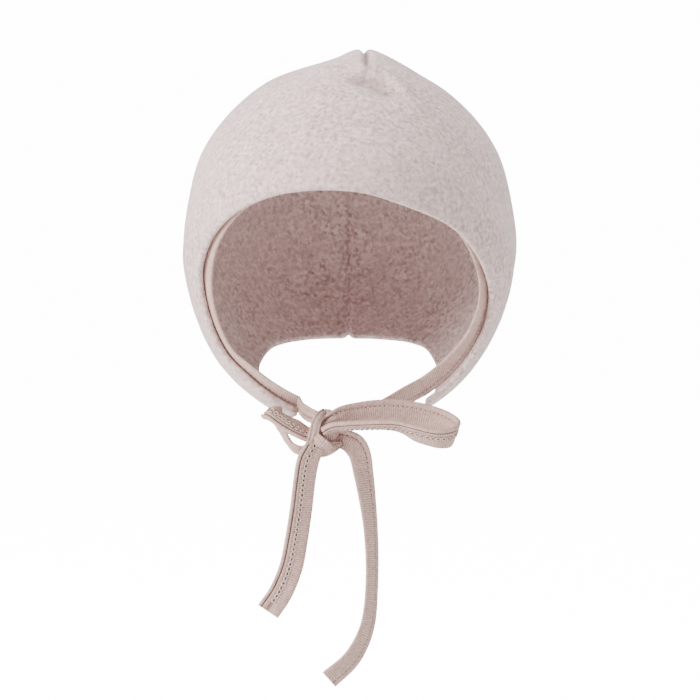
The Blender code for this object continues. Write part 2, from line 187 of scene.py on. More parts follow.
# Lengthwise ribs of the cloth from the left flap's tip over the forehead to the right one:
# degrees round from the front and degrees above the widest line, face edge to neck edge.
RIBS = (
    ((-41.0, -61.0), (-49.0, -64.5), (-64.0, -65.5), (-82.0, -63.5)),
    ((-57.0, -44.5), (-72.0, -49.0), (-91.0, -53.0), (-110.0, -53.5)),
    ((-65.5, -33.0), (-82.0, -33.0), (-103.0, -37.0), (-124.0, -45.0)),
    ((-65.0, -17.4), (-86.0, -9.0), (-113.0, -12.0), (-138.0, -38.0)),
    ((-60.5, -3.5), (-85.0, 14.0), (-122.0, 6.0), (-148.0, -35.5)),
    ((-48.0, 9.8), (-74.0, 38.0), (-136.0, 24.0), (-158.0, -34.5)),
    ((-27.2, 18.4), (-50.0, 62.0), (-156.0, 42.0), (-169.0, -34.0)),
    ((0.0, 20.1), (0.0, 74.0), (180.0, 52.0), (180.0, -34.0)),
    ((18.5, 15.8), (50.0, 62.0), (156.0, 42.0), (169.0, -34.0)),
    ((39.0, 7.6), (74.0, 38.0), (136.0, 24.0), (158.0, -34.5)),
    ((54.0, -6.2), (84.0, 13.0), (122.0, 6.0), (148.0, -35.5)),
    ((61.5, -16.5), (86.0, -9.0), (113.0, -12.0), (138.0, -38.0)),
    ((65.5, -29.0), (84.0, -32.0), (103.0, -37.0), (124.0, -45.0)),
    ((65.5, -42.0), (77.0, -46.0), (91.0, -50.0), (108.0, -52.5)),
    ((60.0, -55.5), (65.0, -57.5), (70.0, -58.5), (77.0, -58.0)),
)

# Soft folds in the fleece: where they run, in degrees as above, how high they stand and
# how far they spread. A height below zero is a hollow.
#    height   spread   places
FOLDS = (
    (0.00260, 0.0024, ((13.4, 67.8), (19.1, 66.7), (24.0, 65.0), (29.4, 61.6), (31.4, 58.9), (32.3, 55.7))),
    (-0.00340, 0.0042, ((11.5, 62.0), (15.6, 61.0), (20.2, 59.4), (23.7, 56.7))),
    (0.00150, 0.0032, ((-31.0, 68.7), (-26.2, 71.2), (-15.2, 71.8), (-2.4, 71.2), (6.8, 69.4), (12.1, 67.1))),
)


def blend_at(knots, values, at):
    """Smooth curve through the values at rising knots, with Catmull-Rom slopes."""
    last = len(knots) - 1
    i = min(max(bisect.bisect_right(knots, at) - 1, 0), last - 1)
    span = knots[i + 1] - knots[i]
    u = (at - knots[i]) / span

    def slope(k):
        low, high = max(k - 1, 0), min(k + 1, last)
        return (values[high] - values[low]) / (knots[high] - knots[low]) * span

    u2, u3 = u * u, u * u * u
    return (
        values[i] * (2 * u3 - 3 * u2 + 1)
        + slope(i) * (u3 - 2 * u2 + u)
        + values[i + 1] * (3 * u2 - 2 * u3)
        + slope(i + 1) * (u3 - u2)
    )


def spaced(places):
    """Lengths along a chain of places."""
    along = [0.0]
    for a, b in zip(places, places[1:]):
        along.append(along[-1] + (b - a).length)
    return along


def direction(around, above):
    """Unit vector from degrees round from the front and degrees above the widest line."""
    a, e = math.radians(around), math.radians(above)
    return Vector((math.sin(a) * math.cos(e), -math.cos(a) * math.cos(e), math.sin(e)))


def ease(u):
    """Smooth step from 0 to 1."""
    u = min(max(u, 0.0), 1.0)
    return u * u * (3 - 2 * u)


FORM_ANGLES = [row[0] for row in FORM]
FORM_WIDTHS = [row[1] for row in FORM]
FORM_FRONTS = [row[2] for row in FORM]
FORM_BACKS = [row[3] for row in FORM]


def form_point(aim):
    """Outside of the plain form where the unit vector aim leaves the crown's middle."""
    angle = math.degrees(math.acos(max(-1.0, min(1.0, aim.z))))
    width = blend_at(FORM_ANGLES, FORM_WIDTHS, angle)
    depth = (
        FRONT_DEPTH * blend_at(FORM_ANGLES, FORM_FRONTS, angle)
        if aim.y < 0
        else BACK_DEPTH * blend_at(FORM_ANGLES, FORM_BACKS, angle)
    )
    rise = CROWN_RISE if aim.z > 0 else CHIN_DROP
    aside = PEAK_OFFSET * ease((PEAK_ANGLE - angle) / (PEAK_ANGLE - 8.0))
    aside += JAW_OFFSET * ease((angle - 95.0) / 50.0)
    return Vector((aside + HALF_WIDTH * width * aim.x, depth * aim.y, WIDEST_Z + rise * aim.z))


def form_normal(aim):
    """Outward normal of the plain form."""
    side = aim.orthogonal().normalized()
    other = aim.cross(side)
    step = 0.01
    along = form_point((aim + side * step).normalized()) - form_point((aim - side * step).normalized())
    across = form_point((aim + other * step).normalized()) - form_point((aim - other * step).normalized())
    return along.cross(across).normalized()


class Rib:
    """One lengthwise line of the cloth on the form, walked by its length from the face edge."""

    FINE = 48

    def __init__(self, share):
        at = share * (len(RIBS) - 1)
        knots = list(range(len(RIBS)))
        rails = []
        for column in range(len(RIBS[0])):
            aims = [direction(*row[column]) for row in RIBS]
            rail = Vector([blend_at(knots, [aim[k] for aim in aims], at) for k in range(3)])
            rails.append(rail.normalized())
        spans = [0.0]
        for a, b in zip(rails, rails[1:]):
            spans.append(spans[-1] + max(a.angle(b), 1e-4))
        self.aims = []
        for i in range(self.FINE + 1):
            u = spans[-1] * i / self.FINE
            aim = Vector([blend_at(spans, [rail[k] for rail in rails], u) for k in range(3)])
            self.aims.append(aim.normalized())
        self.along = spaced([form_point(aim) for aim in self.aims])
        self.length = self.along[-1]

    def aim(self, distance):
        """Direction at a distance from the face edge; below 0 it runs on into the opening."""
        i = min(max(bisect.bisect_right(self.along, distance) - 1, 0), self.FINE - 1)
        u = (distance - self.along[i]) / (self.along[i + 1] - self.along[i])
        return (self.aims[i] + (self.aims[i + 1] - self.aims[i]) * u).normalized()

    def point(self, distance, outward):
        """Point at a distance from the face edge, outward of the plain form."""
        aim = self.aim(distance)
        return form_point(aim) + form_normal(aim) * outward


def column_shares(columns):
    """Shares along the face edge where the cloth has a line of points, closer at the centre seam."""
    shares = []
    for i in range(columns + 1):
        u = i / columns - 0.5
        shares.append(0.5 + u * (0.55 + 0.45 * min(1.0, (abs(u) / 0.25) ** 0.8) if abs(u) < 0.25 else 1.0))
    return shares


def row_distances(length):
    """Where a rib has points: close together over the roll beside the face edge and up to the peak."""
    squeeze = min(1.0, 0.5 * length / (ROLL_FLAT + ROLL_REACH))
    found = [i * (ROLL_FLAT + ROLL_REACH) / ROLL_ROWS * squeeze for i in range(ROLL_ROWS + 1)]
    rest = length - found[-1]
    back_rows = CROWN_ROWS - ROLL_ROWS - BROW_ROWS
    for rows_here, reach in ((BROW_ROWS, BROW_SHARE * rest), (back_rows, (1 - BROW_SHARE) * rest)):
        start = found[-1]
        found += [start + reach * (i + 1) / rows_here for i in range(rows_here)]
    return found


fold_lines = []
for height, spread, places in FOLDS:
    fold_lines.append((height, spread, [form_point(direction(*place)) for place in places]))


def fold_relief(point):
    """Height of the soft folds at a point of the plain form."""
    total = 0.0
    for height, spread, line in fold_lines:
        best = 1.0
        for a, b in zip(line, line[1:]):
            way = b - a
            u = min(max((point - a).dot(way) / way.length_squared, 0.0), 1.0)
            best = min(best, (point - a - way * u).length)
        if best < 3.2 * spread:
            total += height * math.exp(-0.5 * (best / spread) ** 2)
    return total


def seam_share(aim, point):
    """How deep in the seam's groove a point lies, 1 in its middle. The dart runs straight to the front."""
    front = ease((0.002 - point.y) / 0.010)
    aside = HALF_WIDTH * aim.x * (1 - front) + (point.x - DART_ASIDE) * front
    shows = ease((point.y + DART_FRONT + DART_FADE) / DART_FADE)
    if point.z < WIDEST_Z and point.y < 0:
        return 0.0
    return shows * math.exp(-((abs(aside) / SEAM_HALF_WIDTH) ** 1.4))


def crown_relief(aim, point):
    """Peak, seam groove, folds and slack of the fleece, added outwards to the plain form."""
    slack = sum(height * noise.noise(point * scale) for scale, height in SLACK)
    if point.z < WIDEST_Z and point.y < 0:
        return slack
    reach = math.hypot(HALF_WIDTH * aim.x, (point.y - PEAK_BACK) * 0.6)
    peak = PEAK_RISE * math.exp(-0.5 * (reach / PEAK_SPREAD) ** 2) * (point.z > WIDEST_Z)
    return peak - SEAM_GROOVE * seam_share(aim, point) + slack + fold_relief(point)


def fleece_lift(distance):
    """The fleece rides up over the tape beside the face edge."""
    return FACE_LIFT * (1 - ease((distance - ROLL_FLAT) / ROLL_REACH))


def cloth_object(name, vertices, faces, corners=None):
    """Smooth mesh object with its normals pointing out and, where given, a UV for each face corner."""
    mesh = bpy.data.meshes.new(name)
    mesh.from_pydata([tuple(v) for v in vertices], [], faces)
    if corners:
        layer = mesh.uv_layers.new(name="cloth")
        for index, uv in enumerate(corners):
            layer.data[index].uv = uv
    shape = bmesh.new()
    shape.from_mesh(mesh)
    bmesh.ops.recalc_face_normals(shape, faces=shape.faces)
    shape.to_mesh(mesh)
    shape.free()
    mesh.shade_smooth()
    return add_object(name, mesh)


outside, inside, painted_shades = [], [], []
for share in column_shares(CROWN_COLUMNS):
    rib = Rib(share)
    for distance in row_distances(rib.length):
        aim = rib.aim(distance)
        plain = form_point(aim)
        out = form_normal(aim)
        level = crown_relief(aim, plain) + fleece_lift(distance)
        outside.append(plain + out * level)
        inside.append(plain + out * (level - FLEECE_WALL))
        # Each point also stores painted shade: full in the seam's groove, and up to 0.55 where the hollow
        # below the dart's fold sinks.
        painted_shades.append(max(seam_share(aim, plain) ** 1.5, min(0.55, -190.0 * fold_relief(plain))))
rows, columns = CROWN_ROWS + 1, CROWN_COLUMNS + 1
rim = [c * rows for c in range(columns - 1, 0, -1)]
rim += [r for r in range(rows - 1)]
rim += [c * rows + rows - 1 for c in range(columns - 1)]
rim += [(columns - 1) * rows + r for r in range(rows - 1, 0, -1)]
crown_points = outside + inside
crown_faces = []
under = len(outside)
for c in range(columns - 1):
    for r in range(rows - 1):
        a, b = c * rows + r, (c + 1) * rows + r
        crown_faces.append((a, b, b + 1, a + 1))
        crown_faces.append((under + a, under + a + 1, under + b + 1, under + b))
EDGE_STEPS = 5
edge_start = len(crown_points)
for index in rim:
    c, r = divmod(index, rows)
    near = min(max(c, 1), columns - 2) * rows + min(max(r, 1), rows - 2)
    middle = (outside[index] + inside[index]) / 2
    away = (middle - (outside[near] + inside[near]) / 2).normalized()
    half = (outside[index] - inside[index]) / 2
    for k in range(1, EDGE_STEPS):
        turn = math.pi * k / EDGE_STEPS
        crown_points.append(middle + half * math.cos(turn) + away * (half.length * math.sin(turn)))


def edge_line(k):
    """Points round the cut edge at one point of the rim, outside to inside."""
    first = edge_start + k * (EDGE_STEPS - 1)
    return [rim[k], *range(first, first + EDGE_STEPS - 1), under + rim[k]]


for k in range(len(rim)):
    this, after = edge_line(k), edge_line((k + 1) % len(rim))
    for i in range(EDGE_STEPS):
        crown_faces.append((this[i], after[i], after[i + 1], this[i + 1]))
crown = cloth_object("fleece_crown", crown_points, crown_faces)
painted_shade = crown.data.attributes.new("painted_shade", "FLOAT", "POINT")
for index, value in enumerate(painted_shades):
    painted_shade.data[index].value = value


def new_material(name):
    """Node material: itself, its nodes and links, its shader and where a point of it lies."""
    made = bpy.data.materials.new(name)
    made.use_nodes = True
    found = made.node_tree.nodes
    return made, found, made.node_tree.links, found["Principled BSDF"], found.new("ShaderNodeTexCoord")


def grain_group():
    """Shader group: the cloth's noise at a place, plain and as a mask between two levels."""
    group = bpy.data.node_groups.new("cloth grain", "ShaderNodeTree")
    for label, kind in (
        ("Place", "NodeSocketVector"), ("Stretch", "NodeSocketVector"), ("Scale", "NodeSocketFloat"),
        ("Detail", "NodeSocketFloat"), ("Roughness", "NodeSocketFloat"), ("Low", "NodeSocketFloat"),
        ("High", "NodeSocketFloat"),
    ):
        group.interface.new_socket(label, in_out="INPUT", socket_type=kind)
    for label in ("Noise", "Grain"):
        group.interface.new_socket(label, in_out="OUTPUT", socket_type="NodeSocketFloat")
    given, result = group.nodes.new("NodeGroupInput"), group.nodes.new("NodeGroupOutput")
    mapping = group.nodes.new("ShaderNodeMapping")
    speckle = group.nodes.new("ShaderNodeTexNoise")
    levels = group.nodes.new("ShaderNodeMapRange")
    for source, target in (
        (given.outputs["Place"], mapping.inputs["Vector"]),
        (given.outputs["Stretch"], mapping.inputs["Scale"]),
        (mapping.outputs["Vector"], speckle.inputs["Vector"]),
        (given.outputs["Scale"], speckle.inputs["Scale"]),
        (given.outputs["Detail"], speckle.inputs["Detail"]),
        (given.outputs["Roughness"], speckle.inputs["Roughness"]),
        (speckle.outputs["Fac"], levels.inputs["Value"]),
        (given.outputs["Low"], levels.inputs["From Min"]),
        (given.outputs["High"], levels.inputs["From Max"]),
        (speckle.outputs["Fac"], result.inputs["Noise"]),
        (levels.outputs["Result"], result.inputs["Grain"]),
    ):
        group.links.new(source, target)
    return group


fleece, nodes, links, shader, place = new_material("brushed fleece")
cloth_grain = grain_group()


def grain(scale, detail, roughness, levels=None, stretch=(1.0, 1.0, 1.0)):
    """The cloth's noise on the piece's own coordinates, as a mask where two levels are given."""
    node = nodes.new("ShaderNodeGroup")
    node.node_tree = cloth_grain
    low, high = levels or (0.0, 1.0)
    for label, value in (
        ("Stretch", stretch), ("Scale", scale), ("Detail", detail), ("Roughness", roughness),
        ("Low", low), ("High", high),
    ):
        node.inputs[label].default_value = value
    links.new(place.outputs["Object"], node.inputs["Place"])
    return node.outputs["Grain" if levels else "Noise"]


def blended(fac, first, second):
    """Colour between two by a factor."""
    mix = nodes.new("ShaderNodeMix")
    mix.data_type = "RGBA"
    mix.clamp_factor = True
    for socket, colour in ((6, first), (7, second)):
        if isinstance(colour, tuple):
            mix.inputs[socket].default_value = (*colour, 1.0)
        else:
            links.new(colour, mix.inputs[socket])
    links.new(fac, mix.inputs[0])
    return mix.outputs[2]


def ranged(value, low, high, to_low=0.0, to_high=1.0):
    """A value from one range moved to another, clamped."""
    node = nodes.new("ShaderNodeMapRange")
    node.inputs["From Min"].default_value = low
    node.inputs["From Max"].default_value = high
    node.inputs["To Min"].default_value = to_low
    node.inputs["To Max"].default_value = to_high
    links.new(value, node.inputs["Value"])
    return node.outputs["Result"]


def toned(colour, layers):
    """Colour with others laid over it, each by a mask and the most that it covers."""
    for mask, cover, tone in layers:
        colour = blended(ranged(mask, 0.0, 1.0, 0.0, cover), colour, tone)
    return colour


def raised(height, strength, distance, normal=None):
    """Normal of a relief, on top of another's."""
    bump = nodes.new("ShaderNodeBump")
    bump.inputs["Strength"].default_value = strength
    bump.inputs["Distance"].default_value = distance
    links.new(height, bump.inputs["Height"])
    if normal:
        links.new(normal, bump.inputs["Normal"])
    return bump.outputs["Normal"]


def finished(colour, normal, roughness, finish):
    """Joins what changes over the surface to the shader and sets its plain values by name."""
    links.new(colour, shader.inputs["Base Color"])
    links.new(normal, shader.inputs["Normal"])
    if roughness:
        links.new(roughness, shader.inputs["Roughness"])
    for label, value in finish.items():
        shader.inputs[label].default_value = value


mottle = grain(560.0, 3.0, 0.60, (0.38, 0.62))
painted_shade_attribute = nodes.new("ShaderNodeAttribute")
painted_shade_attribute.attribute_name = "painted_shade"
fleece_colour = toned(blended(mottle, (0.330, 0.225, 0.207), (0.800, 0.628, 0.604)), (
    (grain(420.0, 2.0, 0.5, (0.36, 0.64), (1.0, 1.0, 0.30)), 0.50, (0.690, 0.512, 0.490)),
    (grain(420.0, 2.0, 0.5, (0.38, 0.66), (0.30, 0.30, 1.0)), 0.40, (0.470, 0.338, 0.322)),
    (grain(34.0, 2.0, 0.5, (0.35, 0.65)), 0.30, (0.680, 0.508, 0.488)),
    # Painted shade in the seam's groove and in the hollow below the fold, by the share stored with each
    # point.
    (painted_shade_attribute.outputs["Fac"], 0.75, (0.130, 0.085, 0.075)),
))
pile = raised(grain(1500.0, 3.0, 0.6), 0.55, 0.00035)
nap = raised(grain(380.0, 2.0, 0.5), 0.45, 0.0006, pile)
finished(fleece_colour, nap, ranged(mottle, 0.0, 1.0, 0.98, 0.90), {
    "Specular IOR Level": 0.15,
    "Sheen Weight": 0.35,
    "Sheen Roughness": 0.45,
    "Sheen Tint": (1.0, 0.96, 0.94, 1.0),
})
crown.data.materials.append(fleece)
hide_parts("crown")
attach(crown, "root")


# Rib tape: a strip of fine rib knit folded in half lengthwise and sewn flat. One side shows
# a smooth lip and a row of needle dashes, the other a folded lip, a ridge and a chain.

RIB_PITCH = 0.00094
RIB_RELIEF = 0.00016
GATHER = 0.0011
TAPE_STEP = RIB_PITCH / 4
TIE_STEP = 0.0015
EDGE_COLUMNS = 220

# Section across the tape from the fold edge to the sewn lip, in shares of the half width,
# with the height over its middle in half thicknesses, for the needle side and the looper
# side, and how much of the rib relief shows there.
#    across  height  ribs
NEEDLE_SIDE = (
    (-1.00, 0.00, 0.6),
    (-0.97, 0.45, 0.9),
    (-0.90, 0.78, 1.0),
    (-0.78, 0.93, 1.0),
    (-0.60, 1.00, 1.0),
    (-0.35, 1.00, 1.0),
    (-0.10, 0.98, 1.0),
    (0.15, 0.96, 1.0),
    (0.30, 0.92, 0.9),
    (0.38, 0.78, 0.6),
    (0.44, 0.50, 0.2),
    (0.50, 0.46, 0.1),
    (0.56, 0.80, 0.3),
    (0.66, 1.12, 0.35),
    (0.80, 1.24, 0.35),
    (0.92, 1.00, 0.3),
    (1.00, 0.00, 0.2),
)
LOOPER_SIDE = (
    (0.97, -0.75, 0.25),
    (0.90, -1.08, 0.3),
    (0.82, -1.12, 0.3),
    (0.75, -0.95, 0.2),
    (0.700, -0.30, 0.0),
    (0.665, -0.30, 0.0),
    (0.62, -0.95, 0.3),
    (0.54, -1.14, 0.5),
    (0.44, -1.10, 0.5),
    (0.33, -0.80, 0.2),
    (0.22, -0.50, 0.2),
    (0.06, -0.50, 0.2),
    (-0.04, -0.80, 0.7),
    (-0.18, -0.98, 1.0),
    (-0.45, -1.00, 1.0),
    (-0.68, -0.98, 1.0),
    (-0.86, -0.82, 1.0),
    (-0.96, -0.48, 0.9),
)
FLAT_TAPE = (NEEDLE_SIDE, LOOPER_SIDE)
STITCH_ROW = 0.47
CHAIN_ROW = 0.14

# The fold side of a strap may curl away in an arc: where across the tape the arc starts,
# and its radius at full curl.
CURL_FROM = 0.25
CURL_RADIUS = 0.0042


def swept_tape(
    stations, section=FLAT_TAPE, pitch=RIB_PITCH, curl=0.0, fold_curl=None, laid_at=(0.3, 0.2)
):
    """Vertices, faces and corner UVs of a tape through its stations.

    A station is its point, the ways across and up, a share of the width and the length so
    far. curl bends both edges down over a strand. fold_curl gives, for a share of the
    length, how far the fold side curls towards the needle side, up to 1. laid_at is the
    middle and the reach of a strand's second UV.
    """
    half, thick = TAPE_WIDTH / 2, TAPE_THICK / 2
    vertices, counts = [], []
    rim = section[0] + section[1]
    n = len(rim)
    for point, across, up, width, along in stations:
        wave = math.cos(2 * math.pi * along / pitch)
        crest = (0.5 + 0.5 * wave) ** 0.7
        gather = (1.0 - width) * GATHER
        bend = fold_curl(along / stations[-1][4]) / CURL_RADIUS if fold_curl else 0.0
        for x, y, ribs in rim:
            side = 1.0 if y >= 0 else -1.0
            dip = RIB_RELIEF * ribs * (1.0 - crest)
            inset = math.copysign(dip * 0.6, x) if abs(x) > 0.9 else 0.0
            lift = gather * math.cos(x * 7.0) - curl * (x * half * width) ** 2
            place = x * half * width - inset
            angle = max(0.0, CURL_FROM * half * width - place) * bend
            if angle > 1e-6:
                place = CURL_FROM * half * width - math.sin(angle) / bend
                lift += (1 - math.cos(angle)) / bend
            depth = y * thick - side * dip * min(abs(y), 1.0)
            vertices.append(
                point + across * (place + depth * math.sin(angle)) + up * (lift + depth * math.cos(angle))
            )
        counts.append(along / pitch)
    faces, corners = [], []

    def laid(k, edge):
        """Second UV of a section point: 0 to 1 over the needle side, 2 to 3 over the looper side."""
        if edge is not None:
            return edge
        if section is not FLAT_TAPE:
            return laid_at[0] + laid_at[1] * rim[k][0]
        return rim[k][0] * 0.5 + 0.5 + (2.0 if k >= len(section[0]) else 0.0)

    for s in range(len(stations) - 1):
        for k in range(n):
            m = (k + 1) % n
            a, b = s * n + k, s * n + m
            faces.append((a, b, b + n, a + n))
            edge = None
            if section is FLAT_TAPE and k in (len(section[0]) - 1, n - 1):
                edge = 1.0 if k == len(section[0]) - 1 else 0.0
            v, w = laid(k, edge), laid(m, edge)
            corners += [(counts[s], v), (counts[s], w), (counts[s + 1], w), (counts[s + 1], v)]
    for end in (0, len(stations) - 1):
        tip = len(vertices)
        vertices.append(stations[end][0])
        for k in range(n):
            a, b = end * n + k, end * n + (k + 1) % n
            faces.append((tip, b, a))
            corners += [(counts[end], 0.1)] * 3
    return vertices, faces, corners


def with_lengths(stations):
    """Stations with the length so far added to each."""
    found, so_far = [], 0.0
    for i, station in enumerate(stations):
        if i:
            so_far += (station[0] - stations[i - 1][0]).length
        found.append((*station, so_far))
    return found


# How the tape lies along the face edge, a row for each rib: how far it shows past the
# fleece as a share of its width, and by how many degrees its free edge turns in.
BINDING = (
    (0.66, 3.0),
    (0.68, -2.0),
    (0.72, -8.0),
    (0.66, -8.0),
    (0.50, 0.0),
    (0.20, 0.0),
    (-0.15, 0.0),
    (-0.15, 0.0),
    (-0.15, 0.0),
    (-0.05, 0.0),
    (0.30, 0.0),
    (0.62, 0.0),
    (0.75, 8.0),
    (0.82, 22.0),
    (0.85, 30.0),
)


def face_edge_stations():
    """Stations of the tape along the face edge, lying under the fleece's edge."""
    knots = list(range(len(BINDING)))
    found = []
    for share in [i / EDGE_COLUMNS for i in range(EDGE_COLUMNS + 1)]:
        rib = Rib(share)
        at = share * (len(BINDING) - 1)
        shows = blend_at(knots, [row[0] for row in BINDING], at) * TAPE_WIDTH
        turn = math.radians(blend_at(knots, [row[1] for row in BINDING], at))
        level = TAPE_THICK / 2 - FLEECE_WALL
        sewn = TAPE_WIDTH - shows
        up = form_normal(rib.aim(sewn))
        start = rib.point(sewn, level)
        ahead = (rib.point(sewn - TAPE_WIDTH, level) - start).normalized()
        across = (ahead * math.cos(turn) - up * math.sin(turn)).normalized()
        lift = (ahead * math.sin(turn) + up * math.cos(turn)).normalized()
        found.append((start + across * (TAPE_WIDTH / 2), -across, lift, 1.0))
    return found


# Middle of the knot, towards which both ties run.
KNOT_X = -0.0103
KNOT_Y = -0.0380
KNOT_DROP = 0.0724
KNOT = Vector((KNOT_X, KNOT_Y, WIDEST_Z - KNOT_DROP))

# Ties: the way left to the knot, and how far forward and down they hang, as shares of the
# straight line from the face edge's end. Turns in degrees, and shares of the tape's width.
#    way     forward sag     turn   width
LEFT_TIE_ROUTE = (
    (0.84, 0.040, 0.045, 4.0, 0.80),
    (0.55, 0.143, -0.024, 12.0, 0.70),
    (0.24, 0.169, -0.146, 14.0, 0.60),
)
RIGHT_TIE_ROUTE = (
    (0.85, -0.01, 0.01, 0.0, 1.00),
    (0.62, -0.02, 0.03, -5.0, 1.00),
    (0.36, -0.03, 0.03, -10.0, 0.95),
    (0.16, -0.05, 0.00, -15.0, 0.75),
    (0.04, -0.05, -0.02, -15.0, 0.55),
)


class Route:
    """Smooth curve through places, walked by its length."""

    def __init__(self, places):
        self.places = places
        self.along = spaced(places)
        self.length = self.along[-1]

    def place(self, at):
        """Point of the curve at a length."""
        return Vector([self.value([place[k] for place in self.places], at) for k in range(3)])

    def value(self, values, at):
        """What goes with each place, blended at a length."""
        return blend_at(self.along, values, at)

    def run(self, at, share):
        """Direction of the curve, taken over a share of its length to both sides."""
        step = self.length * share
        return (self.place(min(at + step, self.length)) - self.place(max(at - step, 0.0))).normalized()

    def steps(self, length):
        """Even steps of about a length, from one end to the other."""
        count = round(self.length / length)
        return [self.length * i / count for i in range(count + 1)]


def tie_stations(rows, corner, run_sign):
    """Stations from the crown's corner station to the knot, carried on from how the tape lies there."""
    start, carried, up, width = corner
    way = start - KNOT
    places = [KNOT + way * row[0] - Vector((0, row[1], row[2])) * way.length for row in rows]
    route = Route([start, *places])
    turns = [0.0] + [row[3] for row in rows]
    widths = [width] + [row[4] for row in rows]
    found = []
    for at in route.steps(TIE_STEP)[1:]:
        run = route.run(at, 0.004) * run_sign
        carried = (carried - run * carried.dot(run)).normalized()
        turned = Matrix.Rotation(math.radians(route.value(turns, at)), 3, run) @ carried
        found.append((route.place(at), turned, run.cross(turned).normalized(), route.value(widths, at)))
    return found


def resampled(stations, step_length):
    """Stations brought to one even step, turned smoothly between the given ones."""
    lengths = spaced([s[0] for s in stations])
    count = round(lengths[-1] / step_length)
    found = []
    for i in range(count + 1):
        at = lengths[-1] * i / count
        j = min(max(bisect.bisect_right(lengths, at) - 1, 0), len(lengths) - 2)
        u = (at - lengths[j]) / (lengths[j + 1] - lengths[j])
        low, high = max(j - 1, 0), min(j + 2, len(lengths) - 1)
        point = Vector([
            blend_at(lengths[low:high + 1], [s[0][k] for s in stations[low:high + 1]], at) for k in range(3)
        ])
        across = (stations[j][1].lerp(stations[j + 1][1], u)).normalized()
        up = (stations[j][2].lerp(stations[j + 1][2], u)).normalized()
        width = stations[j][3] + (stations[j + 1][3] - stations[j][3]) * u
        found.append((point, across, up, width))
    return found


edge = face_edge_stations()
left_tie = tie_stations(LEFT_TIE_ROUTE, edge[0], -1.0)
right_tie = tie_stations(RIGHT_TIE_ROUTE, edge[-1], 1.0)
binding_stations = with_lengths(resampled(left_tie[::-1] + edge + right_tie, TAPE_STEP))
binding = cloth_object("binding_tape", *swept_tape(binding_stations))

rib_tape, nodes, links, shader, place = new_material("rib tape")
lie = nodes.new("ShaderNodeSeparateXYZ")
links.new(place.outputs["UV"], lie.inputs["Vector"])


def math_node(operation, first, second=None):
    """One step of arithmetic on values that change over the surface."""
    node = nodes.new("ShaderNodeMath")
    node.operation = operation
    for socket, value in ((0, first), (1, second)):
        if value is None:
            continue
        if isinstance(value, (int, float)):
            node.inputs[socket].default_value = value
        else:
            links.new(value, node.inputs[socket])
    return node.outputs[0]


def band(value, middle, reach, soft):
    """1 within a reach of a middle value, falling to 0 over a soft edge."""
    off = math_node("ABSOLUTE", math_node("SUBTRACT", value, middle))
    return ranged(off, reach, reach + soft, 1.0, 0.0)


def either(first, second):
    """The larger of two masks."""
    return math_node("MAXIMUM", first, second)


lengthwise, sideways = lie.outputs["X"], lie.outputs["Y"]
needle_lip = ranged(sideways, 0.745, 0.775)
looper_lip = ranged(sideways, 2.83, 2.85)
on_looper = ranged(sideways, 1.4, 1.5)
lip = math_node("MULTIPLY", needle_lip, math_node("SUBTRACT", 1.0, on_looper))
lip = either(lip, looper_lip)
sway = math_node("MULTIPLY", math_node("SUBTRACT", grain(160.0, 1.0, 0.5), 0.5), 0.9)
rib_turns = math_node("MULTIPLY", math_node("ADD", lengthwise, sway), 2 * math.pi)
# Painted shade in the valleys between the ribs, and on the lips in finer valleys twice as close.
rib_valley_shade = ranged(math_node("COSINE", rib_turns), -1.0, -0.05, 1.0, 0.0)
lip_rib_shade = ranged(math_node("COSINE", math_node("MULTIPLY", rib_turns, 2.0)), -1.0, 0.4, 0.45, 0.0)
rib_valley_shade = math_node("MULTIPLY", rib_valley_shade, math_node("SUBTRACT", 1.0, lip))
rib_valley_shade = either(rib_valley_shade, math_node("MULTIPLY", lip_rib_shade, lip))
# Painted shade in the groove of the needle row, in the groove between the folded lip and the ridge, and in
# the channel where the chain lies.
seam_groove_shade = either(band(sideways, 0.735, 0.014, 0.020), band(sideways, 2.838, 0.020, 0.014))
chain_channel_shade = band(sideways, 2.570, 0.055, 0.03)
knit = grain(900.0, 2.0, 0.55, (0.35, 0.65))
tape_colour = toned(blended(knit, (0.480, 0.305, 0.258), (0.660, 0.462, 0.408)), (
    (grain(60.0, 2.0, 0.5, (0.35, 0.65)), 0.35, (0.570, 0.375, 0.322)),
    # Painted shade in the valleys between the ribs.
    (rib_valley_shade, 0.62, (0.215, 0.120, 0.098)),
    # These two layers are painted shade: in the chain's channel and in the seam grooves.
    (chain_channel_shade, 0.70, (0.150, 0.085, 0.070)),
    (seam_groove_shade, 0.85, (0.110, 0.058, 0.048)),
))
tape_nap = raised(grain(1800.0, 2.0, 0.5), 0.5, 0.00025)
finished(tape_colour, tape_nap, ranged(knit, 0.0, 1.0, 0.92, 0.80), {
    "Specular IOR Level": 0.2,
    "Sheen Weight": 0.18,
    "Sheen Roughness": 0.4,
    "Sheen Tint": (1.0, 0.94, 0.92, 1.0),
})
binding.data.materials.append(rib_tape)
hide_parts("binding_and_ties")
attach(binding, "root")


# Bow: two loops and two free tails of the same tape, which leave the knot and curl as the
# stretched knit likes to. Both tails end in a plain cut.

RIGHT_LOOP = 0.0545
LEFT_LOOP = 0.0250
LEFT_TAIL = 0.0755
RIGHT_TAIL = 0.1050

